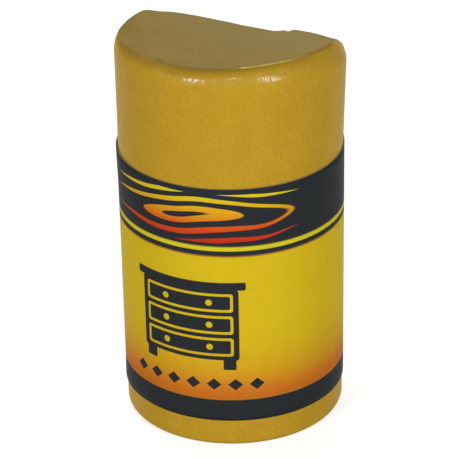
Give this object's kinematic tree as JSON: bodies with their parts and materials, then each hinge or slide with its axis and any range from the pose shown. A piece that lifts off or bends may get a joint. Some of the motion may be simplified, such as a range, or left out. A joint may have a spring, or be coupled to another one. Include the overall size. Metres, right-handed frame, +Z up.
{
  "type": "furniture repair wax stick",
  "caption": "Short round stick of soft filler wax with a tilted, scooped working end and a printed paper label wrapped round its middle.",
  "frame": {"origin": "centre of the flat foot, on the plane that the stick stands on", "axes": "+Z up along the stick, -Y towards the front of the label, +Y the way the scoop falls and the side with the label's lap"},
  "size_m": [0.0286, 0.0287, 0.0517],
  "materials": {
    "wax": "cast soft wax, satin",
    "label_paper": "printed and varnished paper, satin",
    "glue": "dried clear glue film"
  },
  "bodies": {
    "root": {"wax_stick": "wax", "wrap_label": "label_paper", "lap_glue": "glue"}
  },
  "joints": []
}
